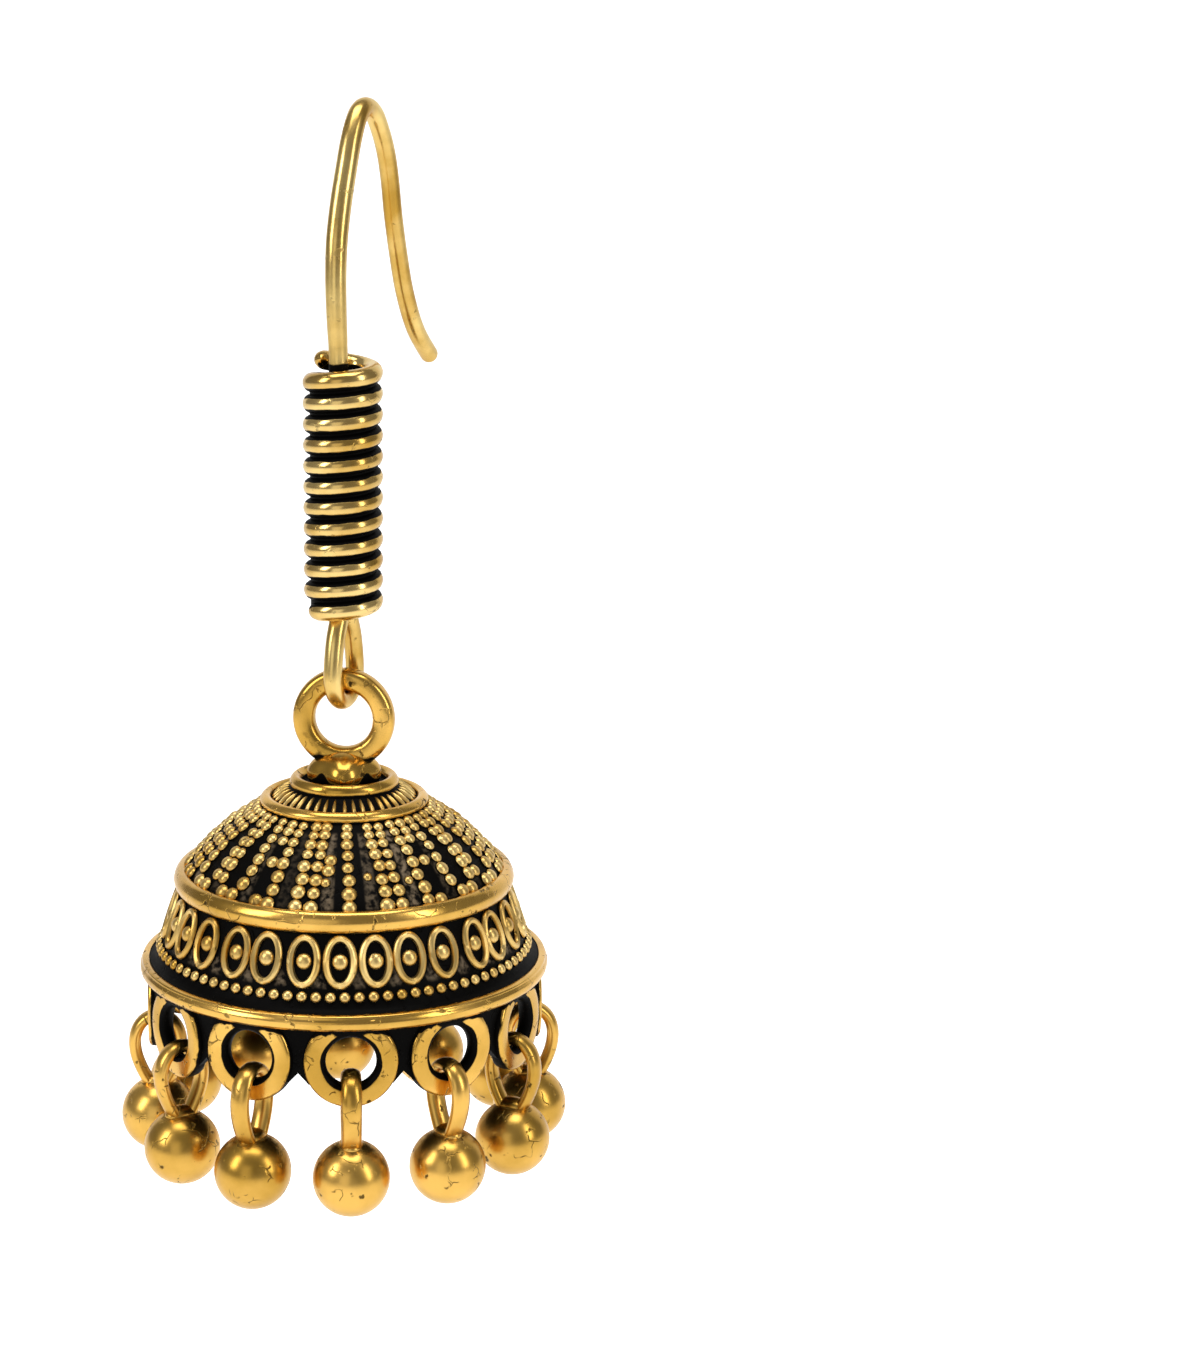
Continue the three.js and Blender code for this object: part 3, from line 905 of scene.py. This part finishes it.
def columnSpots():
    # Rows of granules in each column, closer together and smaller towards the collar
    wobble = np.random.default_rng(11)
    count, perRow, footSize = (granules[key] for key in ("columns", "perRow", "footSize"))
    spots = []
    for i in range(count):
        centre = granules["phase"] + 360 * i / count
        kind = granules["kinds"][i % len(granules["kinds"])]
        inward = 1 if i < count / 2 else -1
        for j in range(perRow - (kind == "loop")):
            along = (j / (perRow - 1)) ** granules["crowding"]
            share = granules["firstShare"] + granules["shareSpan"] * along
            gap = granules["topGap"] + (granules["footGap"] - granules["topGap"]) * share
            if kind == "loop":
                opening = sin(pi * min(share * 1.15, 1) / 2)
                gap = granules["loopTopGap"] + (granules["loopGap"] - granules["loopTopGap"]) * opening
            sides = [-0.5, 0.5]
            if kind == "single":
                sides = [0]
            elif kind == "mixed" and 2 < j < perRow - 1 and j != 4:
                sides = [-0.5 * inward]
            for side in sides:
                shifted = share + wobble.uniform(-granules["shareWobble"], granules["shareWobble"])
                seat = columnSeat(shifted)
                turn = centre + degrees(side * gap / seat[0])
                turn += wobble.uniform(-granules["turnWobble"], granules["turnWobble"])
                size = granules["topSize"] + (footSize - granules["topSize"]) * share
                spots.append((turn, seat, size * wobble.uniform(*granules["sizeWobble"])))
        if kind == "loop":
            for side in granules["loopFootSides"]:
                seat = columnSeat(granules["loopFootShare"])
                turn = centre + degrees(side * granules["loopGap"] / seat[0])
                spots.append((turn, seat, footSize))
    spots += [(stray["turn"], columnSeat(stray["share"]), stray["size"]) for stray in strayGranules]
    return spots


def beadSpots():
    seat = seatOn("ovals end", "beads end", granules["beadSeat"])
    count = granules["beadCount"]
    return [(360 * i / count, seat, granules["beadSize"]) for i in range(count)]


makeGranules("granuleRows", columnSpots(), granules["lowness"])
makeGranules("rimBeads", beadSpots(), granules["beadLowness"])


# Ovals with their dots, and the radial ticks: one of each is shaped at the front, then set round the axis

relief = {
    "ovalCount": 30,
    "ovalPhase": -2,
    "ovalWidth": 1.84,
    "ovalHeight": 2.84,
    "ovalLine": 0.42,
    "ovalRise": 0.24,
    "ovalFrom": -35,
    "ovalRound": 250,
    "dotWidth": 0.86,
    "dotRise": 0.3,
    "tickCount": 44,
    "tickLength": 1.16,
    "tickTopWidth": 0.14,
    "tickFootWidth": 0.31,
    "tickRise": 0.2,
    "ovalUnevenness": 1.1,
    "tickUnevenness": 0.7,
    "sunk": 0.03,
}


def onFace(seat, across, upFace, lift):
    # A point beside the axis at angle zero, on the bell's face
    radius, z, out, up = seat
    return (across, -(radius + lift * out - upFace * up), z + upFace * out + lift * up)


def ovalPart(seat):
    steps, sides = 40, 7

    def spotAt(angle, j):
        turn = radians(relief["ovalFrom"] + relief["ovalRound"] * j / (sides - 1))
        half = relief["ovalLine"] / 2
        width = relief["ovalWidth"] / 2 - half + half * cos(turn)
        height = relief["ovalHeight"] / 2 - half + half * cos(turn)
        lift = relief["ovalRise"] * sin(turn)
        spot = onFace(seat, width * cos(angle), height * sin(angle), lift)
        return (*spot, 0.15 + 1.5 * max(0, sin(turn)))

    return sweepRound(steps, sides, spotAt, False)


def domePart(seat, length, widthOf, rise, rows, columns):
    # A raised grain, with its width as a function of the share from its top to its foot
    corners, values = [], []
    for i in range(rows):
        share = 0.5 - 0.5 * cos(pi * i / (rows - 1))
        for j in range(columns):
            turn = pi * j / (columns - 1)
            spread = sqrt(max(0, 1 - (2 * share - 1) ** 2))
            across = widthOf(share) / 2 * spread * cos(turn)
            lift = rise * spread * sin(turn) - relief["sunk"]
            corners.append(onFace(seat, across, length * (0.5 - share), lift))
            values.append(0.2 + 2.2 * max(0, lift / rise))
    return corners, gridFaces(rows, columns, closedColumns=False), values


def makeRound(name, parts, metal, count, phase, unevenness):
    shape = plainPiece(name + "Shape", parts, metal)
    mendPoles(shape)
    return grow(shape, roundTheAxis, name, Count=count, Phase=castTurn + radians(phase),
                Unevenness=radians(unevenness), Metal=metal)


def makeOvals():
    seat = seatOn("ovals start", "ovals end", 0.5)
    dot = domePart(seat, relief["dotWidth"], lambda share: relief["dotWidth"], relief["dotRise"], 9, 9)
    parts = [ovalPart(seat), dot]
    ovals = makeRound("ovals", parts, grainGold, relief["ovalCount"], relief["ovalPhase"],
                      relief["ovalUnevenness"])
    return finishPiece(ovals)


def makeTicks():
    seat = seatOn("ticks start", "ticks end", 0.5)
    topWidth, footWidth = relief["tickTopWidth"], relief["tickFootWidth"]
    tick = domePart(seat, relief["tickLength"], lambda share: topWidth + (footWidth - topWidth) * share,
                    relief["tickRise"], 8, 7)
    ticks = makeRound("ticks", [tick], grainGold, relief["tickCount"], 0, relief["tickUnevenness"])
    return finishPiece(ticks)


makeBell()
makeOvals()
makeTicks()
print("bell and relief made")


# Bail ring and the lobed finial that it stands in

bail = {
    "bar": 1.18,
    "squareness": 2.8,
    "blackFoot": 2.45,
    "blackFade": 1.1,
    "sideFrom": 0.6,
    "sideBlack": 0.47,
    "finialRadius": 1.82,
    "finialTop": 1.24,
    "finialFoot": 1.5,
    "lobes": 4,
    "lobeDepth": 0.09,
    "finialLean": 1.25,
    "finialShade": 1.1,
    "footFrom": 0.66,
    "footFade": 0.3,
    "footBlack": 0.9,
    "notchBlack": 0.6,
}
bailZ = barZ - bailRadius


def superPoint(turn, power):
    across, up = cos(turn), sin(turn)
    return (copysign(abs(across) ** (2 / power), across), copysign(abs(up) ** (2 / power), up))


def makeBail():
    steps, sides = 72, 24

    def spotAt(angle, j):
        out, depth = superPoint(2 * pi * j / sides, bail["squareness"])
        radius = bailRadius + bail["bar"] / 2 * out
        z = bailZ + radius * cos(angle)
        lift = (z - bailZ + bail["blackFoot"]) / bail["blackFade"]
        side = max(0, abs(depth) - bail["sideFrom"]) / (1 - bail["sideFrom"])
        shade = min(lift, 1 - bail["sideBlack"] * side)
        return axisX + radius * sin(angle), axisY + bail["bar"] / 2 * depth, z, shade

    ring = plainPiece("bailRing", [sweepRound(steps, sides, spotAt, True)], castGold)
    mendPoles(ring)
    return finishPiece(ring)


def makeFinial():
    steps, rows = 72, 14

    def spotAt(angle, j):
        lean = pi / 2 * bail["finialLean"] * j / (rows - 1)
        swell = 1 + bail["lobeDepth"] * cos(bail["lobes"] * angle) * sin(lean) ** 2
        out = bail["finialRadius"] * sin(lean) * swell
        z = crownZ + cos(lean) * bail["finialTop" if lean < pi / 2 else "finialFoot"]
        across, forward = roundAxis(degrees(angle))
        foot = max(0, j / (rows - 1) - bail["footFrom"]) / bail["footFade"]
        notch = (0.5 - 0.5 * cos(bail["lobes"] * angle)) ** 4 * sin(lean) ** 6
        shade = bail["finialShade"] - bail["footBlack"] * foot - bail["notchBlack"] * notch
        return axisX + out * across, axisY + out * forward, z, shade

    finial = plainPiece("finial", [sweepRound(steps, rows, spotAt, False)], castGold)
    mendPoles(finial)
    return finishPiece(finial)


makeBail()
makeFinial()


# Eyelets under the rim and the dark webs between them

eyelets = {
    "count": 12,
    "phase": 1.7,
    "ring": 10.1,
    "centreDrop": 1.8,
    "radius": 2.44,
    "hole": 1.29,
    "mouth": 1.55,
    "thickness": 0.86,
    "webDrop": 2.9,
    "webOverlap": 0.3,
    "webInset": 0.25,
    "webThickness": 0.42,
    "webTop": 0.3,
    "webFootSpread": 0.15,
    "webNotch": 0.45,
    "rimShadow": 0.12,
    "rimShadowFade": 0.3,
}
eyeletProfile = table(
    "edge out deep relief",
    ("hole", 0.00, 0.00, 0.00), ("hole", 0.03, 0.50, 0.00), ("mouth", -0.04, 0.94, 0.20),
    ("mouth", 0.07, 1.00, 0.58), ("mouth", 0.20, 1.01, 0.90), ("radius", -0.30, 1.01, 0.90),
    ("radius", -0.13, 0.96, 0.58), ("radius", -0.03, 0.76, 0.50), ("radius", 0.00, 0.30, 0.10),
)
eyeletZ = rimZ - eyelets["centreDrop"]


def eyeletPart():
    half = eyelets["thickness"] / 2
    face = [(eyelets[row["edge"]] + row["out"], row["deep"] * half, row["relief"]) for row in eyeletProfile]
    outline = face + [(radius, -depth, shade) for radius, depth, shade in reversed(face) if depth]

    def spotAt(angle, j):
        radius, depth, shade = outline[j]
        z = eyeletZ + radius * cos(angle)
        underRim = min(1, max(0, (rimZ - eyelets["rimShadow"] - z) / eyelets["rimShadowFade"]))
        return radius * sin(angle), -eyelets["ring"] - depth, z, shade * underRim

    return sweepRound(64, len(outline), spotAt, True)


def webPart():
    # Widest under the rim, then as wide as the gap between two eyelets
    halfSpacing = eyelets["ring"] * tan(pi / eyelets["count"])
    chordAtRim = sqrt(eyelets["radius"] ** 2 - eyelets["centreDrop"] ** 2)
    wide = halfSpacing - chordAtRim + eyelets["webOverlap"]
    narrow = halfSpacing - eyelets["radius"] + eyelets["webOverlap"]
    middle = -eyelets["ring"] / cos(pi / eyelets["count"]) + eyelets["webInset"]
    deep = eyelets["webThickness"] / 2
    foot = rimZ - eyelets["webDrop"]
    top, low, notch = rimZ + eyelets["webTop"], foot - eyelets["webFootSpread"], foot + eyelets["webNotch"]
    outline = [(-wide, top), (-narrow, eyeletZ), (-narrow, low), (0, notch),
               (narrow, low), (narrow, eyeletZ), (wide, top)]
    count = len(outline)
    corners = [(x, middle + depth, z) for depth in (-deep, deep) for x, z in outline]
    faces = [tuple(range(count)), tuple(reversed(range(count, 2 * count)))]
    faces += [(i, i + count, (i + 1) % count + count, (i + 1) % count) for i in range(count)]
    return corners, faces, [0.0] * (2 * count)


def makeEyelets():
    count, phase = eyelets["count"], eyelets["phase"]
    plates = makeRound("eyelets", [eyeletPart()], castGold, count, phase, 0)
    webs = makeRound("eyeletWebs", [webPart()], castGold, count, phase + 180 / count, 0)
    finishPiece(plates)
    finishPiece(webs)


makeEyelets()
print("eyelets made")


# Drops, each a ball soldered to its link

drop = {
    "ball": 2.0,
    "wire": 0.86,
    "halfWidth": 1.45,
    "halfHeight": 2.1,
    "aboveBall": 3.47,
    "flatness": 1.22,
    "pinch": 0.52,
    "collarAcross": 0.64,
    "collarDeep": 0.95,
    "collarRise": 0.46,
    "collarSunk": 0.2,
    # Painted shade on the ball round its collar
    "collarShade": 0.46,
    "shadeReach": 1.25,
    "hang": 1.25,
    "pinchPower": 1.5,
    "pinchWobble": (0.8, 1.2),
}
linkZ = eyeletZ - drop["hang"] + drop["wire"] / 2 - drop["halfHeight"]
ballZ = linkZ - drop["aboveBall"]


def spherePart(centre, radii, steps, rows):
    def spotAt(angle, j):
        lean = pi * j / (rows - 1)
        ways = (sin(lean) * cos(angle), sin(lean) * sin(angle), cos(lean))
        return (*(middle + radius * way for middle, radius, way in zip(centre, radii, ways)), 1.0)

    return sweepRound(steps, rows, spotAt, False)


def ballPart():
    # Painted shade, darkened round the solder collar
    corners, faces, _ = spherePart((0, 0, ballZ), [drop["ball"]] * 3, 48, 33)
    shaded = []
    for x, y, z in corners:
        near = hypot(x / drop["collarAcross"], y / drop["collarDeep"])
        shaded.append(drop["collarShade"] if z > ballZ and near < drop["shadeReach"] else 1.0)
    return corners, faces, shaded


def linkPart(pinch):
    # The link's plane runs out from the bell's axis, along Y before it is turned
    steps, sides = 56, 14

    def middle(turn):
        narrow = 1 - pinch * ((1 + cos(turn)) / 2) ** drop["pinchPower"]
        out = drop["halfWidth"] * sin(turn) * narrow
        return Vector((0, out, linkZ - drop["halfHeight"] * cos(turn)))

    def spotAt(turn, j):
        along = (middle(turn + 0.01) - middle(turn - 0.01)).normalized()
        side = along.cross(Vector((1, 0, 0)))
        around = 2 * pi * j / sides
        flat = Vector((drop["flatness"], 0, 0)) * cos(around)
        spot = middle(turn) + drop["wire"] / 2 * (flat + side * sin(around) * (2 - drop["flatness"]))
        return (*spot, 1.0)

    return sweepRound(steps, sides, spotAt, True)


def makeDrop(index):
    wobble = np.random.default_rng(100 + index)
    collarRadii = (drop["collarAcross"], drop["collarDeep"], drop["collarRise"])
    parts = [
        ballPart(),
        linkPart(drop["pinch"] * wobble.uniform(*drop["pinchWobble"])),
        spherePart((0, 0, ballZ + drop["ball"] - drop["collarSunk"]), collarRadii, 24, 13),
    ]
    angle = castTurn + radians(eyelets["phase"] + 360 * index / eyelets["count"])
    cosine, sine, ring = cos(angle), sin(angle), eyelets["ring"]
    turned = []
    for corners, faces, values in parts:
        placed = [(axisX + x * cosine - (y - ring) * sine, axisY + x * sine + (y - ring) * cosine, z)
                  for x, y, z in corners]
        turned.append((placed, faces, values))
    name = f"drop_{index + 1:02d}"
    piece = plainPiece("dressed_" + name, turned, ballGold)
    mendPoles(piece)
    return finishPiece(piece, name, slotName="polished_gold")


for index in range(eyelets["count"]):
    makeDrop(index)
print("drops made")


# Floor, light and camera

studio = {
    "floorZ": -80,
    "focal": 80.93,
    "sensor": 36,
    "pitch": radians(13.2),
    "distance": 159,
    "eyeHeight": 7.93,
    "azimuth": radians(5.2),
    "aside": 13.57,
    "roll": radians(0.9),
    "floorFront": -320,
    "floorBack": 260,
    "floorBend": 120,
    "wallTop": 520,
    "floorHalfWidth": 500,
    "floorGlow": (0.42, 0.95),
    "roomGlow": (0.25, 1.0),
}
lamps = table(
    "name place size power",
    ("keyLeft", (-170, -130, 80), (70, 140), 0.17),
    ("keyRight", (190, -90, 50), (45, 170), 0.12),
    ("overhead", (0, -30, 190), (190, 110), 0.27),
    ("frontFill", (-40, -230, 10), (120, 150), 0.035),
)


def glowByRay(tree, reflected, seen):
    # White to the camera, softer to what the metal reflects
    rays = addNode(tree, "ShaderNodeLightPath")
    return remap(tree, rays.outputs["Is Camera Ray"], toRange=(reflected, seen))


def makeSweep():
    # A pale floor that curves up behind the earring
    back, bend, wide = studio["floorBack"], studio["floorBend"], studio["floorHalfWidth"]
    profile = [(studio["floorFront"], 0), (back, 0)]
    for i in range(1, 10):
        angle = radians(90 * i / 9)
        profile.append((back + bend * sin(angle), bend - bend * cos(angle)))
    profile.append((back + bend, studio["wallTop"]))
    corners = [(x, y, studio["floorZ"] + z) for y, z in profile for x in (-wide, wide)]
    faces = [(2 * i, 2 * i + 1, 2 * i + 3, 2 * i + 2) for i in range(len(profile) - 1)]
    sweep = meshObject("sweep", corners, faces)
    sweep.data.polygons.foreach_set("use_smooth", [True] * len(faces))
    material = bpy.data.materials.new("paleFloor")
    material.use_nodes = True
    shader = next(node for node in material.node_tree.nodes if node.type == "BSDF_PRINCIPLED")
    shader.inputs["Base Color"].default_value = (0.9, 0.9, 0.89, 1)
    shader.inputs["Roughness"].default_value = 0.8
    shader.inputs["Emission Color"].default_value = (1, 1, 1, 1)
    glow = glowByRay(material.node_tree, *studio["floorGlow"])
    material.node_tree.links.new(glow, shader.inputs["Emission Strength"])
    sweep.data.materials.append(material)


def softLight(lamp, target):
    light = bpy.data.lights.new(lamp["name"], "AREA")
    light.shape = "RECTANGLE"
    light.size, light.size_y = [side * mm for side in lamp["size"]]
    light.energy = lamp["power"]
    holder = addToScene(lamp["name"], light)
    holder.location = Vector(lamp["place"]) * mm
    holder.rotation_mode = "QUATERNION"
    holder.rotation_quaternion = (Vector(target) - Vector(lamp["place"])).to_track_quat("-Z", "Y")


def makeStudio():
    makeSweep()
    for lamp in lamps:
        softLight(lamp, (axisX, axisY, -30))
    world = bpy.data.worlds.new("room")
    world.use_nodes = True
    backdrop = next(node for node in world.node_tree.nodes if node.type == "BACKGROUND")
    backdrop.inputs["Color"].default_value = (0.95, 0.95, 0.96, 1)
    glow = glowByRay(world.node_tree, *studio["roomGlow"])
    world.node_tree.links.new(glow, backdrop.inputs["Strength"])
    bpy.context.scene.world = world
    bpy.context.scene.view_settings.view_transform = "Standard"


def makeCamera():
    turn = studio["azimuth"]
    camera = bpy.data.cameras.new("photoView")
    camera.lens = studio["focal"]
    camera.sensor_fit = "VERTICAL"
    camera.sensor_height = studio["sensor"]
    camera.clip_start, camera.clip_end = 0.01, 10
    holder = addToScene("photoView", camera)
    holder.location = Vector((
        axisX + studio["distance"] * sin(turn) + studio["aside"] * cos(turn),
        axisY - studio["distance"] * cos(turn) + studio["aside"] * sin(turn),
        studio["eyeHeight"],
    )) * mm
    level = Euler((pi / 2 - studio["pitch"], 0, turn)).to_matrix()
    holder.rotation_euler = (level @ Matrix.Rotation(studio["roll"], 3, "Z")).to_euler()
    bpy.context.scene.camera = holder


makeStudio()
makeCamera()
print("studio made")
